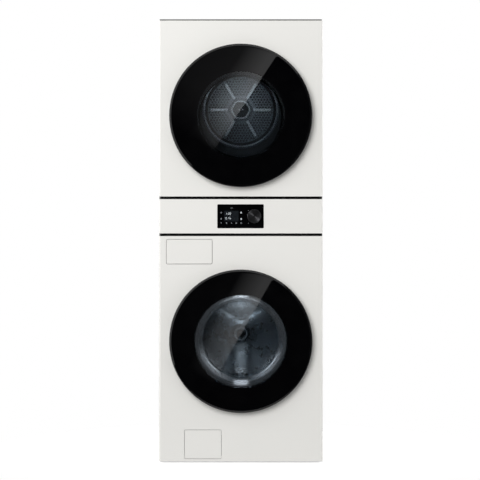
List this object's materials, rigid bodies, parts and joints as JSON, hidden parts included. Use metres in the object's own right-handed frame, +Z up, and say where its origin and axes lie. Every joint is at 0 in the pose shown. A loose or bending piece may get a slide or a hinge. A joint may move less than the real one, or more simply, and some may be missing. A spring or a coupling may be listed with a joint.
{
  "type": "washer dryer stack",
  "caption": "Laundry tower with a tumble dryer above a front-loading washer in one white cabinet, round black glass doors and a shared control fascia with a dial.",
  "frame": {"origin": "on the floor under the centre of the bounding box", "axes": "+Z up, the front with the doors faces -Y, +X to the viewer's right"},
  "size_m": [0.686, 0.803, 1.855],
  "materials": {
    "panel_white": "satin powder coat",
    "fascia_white": "satin moulded",
    "trim_black": "moulded",
    "cover_grey": "satin",
    "galvanised_steel": "galvanised",
    "door_glass": "tinted toughened glass",
    "display_black": "black glass",
    "bowl_glass": "pressed glass",
    "door_plastic": "moulded",
    "dial_metal": "dark radial brushed",
    "hinge_steel": "zinc plated",
    "drum_steel": "stainless",
    "cast_aluminium": "cast",
    "cast_weight": "cast",
    "tub_plastic": "moulded",
    "inner_plastic": "moulded",
    "grey_rubber": "moulded",
    "black_rubber": "moulded",
    "felt": "pressed felt",
    "suspension_steel": "zinc plated"
  },
  "bodies": {
    "cabinet": {"washer_front_panel": "panel_white", "dryer_front_panel": "panel_white", "side_panel_left": "panel_white", "side_panel_right": "panel_white", "control_fascia": "fascia_white", "trim_strips": "trim_black", "cord_gland": "trim_black", "door_catches": "trim_black", "top_cover": "cover_grey", "base_pan": "galvanised_steel", "mid_deck": "galvanised_steel", "rear_panel_lower": "galvanised_steel", "rear_panel_upper": "galvanised_steel", "dryer_front_bulkhead": "galvanised_steel", "air_ducts": "galvanised_steel", "dryer_rear_bulkhead": "galvanised_steel", "display_glass": "display_black", "hinge_brackets": "hinge_steel", "rear_screws": "hinge_steel", "drum_bearings": "hinge_steel", "air_screen": "drum_steel", "dryer_motor": "cast_aluminium", "counterweights": "cast_weight", "motor_stator": "cast_weight", "tub_front": "tub_plastic", "tub_rear": "tub_plastic", "drain_pump": "tub_plastic", "drawer_housing": "tub_plastic", "blower_housing": "tub_plastic", "control_board": "tub_plastic", "inlet_valves": "tub_plastic", "door_gasket": "grey_rubber", "water_hoses": "black_rubber", "drum_belt": "black_rubber", "drum_seals": "felt", "tub_suspension": "suspension_steel", "levelling_feet": "suspension_steel"},
    "washer_drum": {"washer_drum": "drum_steel", "drum_lifters": "inner_plastic", "drum_spider": "cast_aluminium", "motor_rotor": "cast_aluminium"},
    "washer_door": {"washer_door_glass": "door_glass", "washer_door_ring": "door_plastic", "washer_door_bowl": "bowl_glass", "washer_hinge_arm": "hinge_steel"},
    "dryer_drum": {"dryer_drum": "drum_steel", "dryer_lifters": "inner_plastic"},
    "dryer_door": {"dryer_door_glass": "door_glass", "dryer_door_ring": "door_plastic", "dryer_door_window": "bowl_glass", "dryer_hinge_arm": "hinge_steel"},
    "detergent_drawer": {"detergent_tray": "inner_plastic", "drawer_front": "panel_white"},
    "pump_hatch": {"pump_hatch": "panel_white"},
    "pump_filter": {"pump_filter": "inner_plastic"},
    "lint_filter": {"lint_filter": "inner_plastic"},
    "dial": {"dial_knob": "dial_metal"},
    "fan_shaft": {"fan_and_pulley": "tub_plastic"},
    "roller_left": {"drum_roller_left": "black_rubber"},
    "roller_right": {"drum_roller_right": "black_rubber"}
  },
  "joints": [
    {"name": "washer_drum_spin", "type": "hinge", "parent": "cabinet", "child": "washer_drum", "pos_m": [0, 0, 0.511], "axis": [0, 1, 0], "continuous": true},
    {"name": "washer_door_swing", "type": "hinge", "parent": "cabinet", "child": "washer_door", "pos_m": [-0.283, -0.3835, 0.511], "axis": [0, 0, -1], "range_deg": [0, 110]},
    {"name": "dryer_drum_spin", "type": "hinge", "parent": "cabinet", "child": "dryer_drum", "pos_m": [0, 0, 1.524], "axis": [0, 1, 0], "continuous": true},
    {"name": "dryer_door_swing", "type": "hinge", "parent": "cabinet", "child": "dryer_door", "pos_m": [-0.283, -0.3835, 1.45], "axis": [0, 0, -1], "range_deg": [0, 110]},
    {"name": "drawer_slide", "type": "slide", "parent": "cabinet", "child": "detergent_drawer", "axis": [0, -1, 0], "range_m": [0, 0.22]},
    {"name": "hatch_swing", "type": "hinge", "parent": "cabinet", "child": "pump_hatch", "pos_m": [-0.1585, -0.3485, 0.024], "axis": [1, 0, 0], "range_deg": [0, 90]},
    {"name": "pump_filter_twist", "type": "hinge", "parent": "cabinet", "child": "pump_filter", "pos_m": [-0.1585, -0.2935, 0.0782], "axis": [0, -1, 0], "range_deg": [0, 90]},
    {"name": "lint_filter_slide", "type": "slide", "parent": "cabinet", "child": "lint_filter", "axis": [0, 0, 1], "range_m": [0, 0.16]},
    {"name": "dial_turn", "type": "hinge", "parent": "cabinet", "child": "dial", "pos_m": [0.056, -0.3635, 1.031], "axis": [0, -1, 0], "continuous": true},
    {"name": "fan_spin", "type": "hinge", "parent": "cabinet", "child": "fan_shaft", "pos_m": [0.045, 0, 1.1097], "axis": [0, 1, 0], "continuous": true},
    {"name": "roller_left_spin", "type": "hinge", "parent": "cabinet", "child": "roller_left", "pos_m": [-0.21167, 0.2505, 1.27174], "axis": [0, 1, 0], "continuous": true},
    {"name": "roller_right_spin", "type": "hinge", "parent": "cabinet", "child": "roller_right", "pos_m": [0.21167, 0.2505, 1.27174], "axis": [0, 1, 0], "continuous": true}
  ],
  "couplings": [
    {"joint": "fan_spin", "follows": "dryer_drum_spin", "ratio": 20.511},
    {"joint": "roller_left_spin", "follows": "dryer_drum_spin", "ratio": -8.1389},
    {"joint": "roller_right_spin", "follows": "dryer_drum_spin", "ratio": -8.1389}
  ]
}
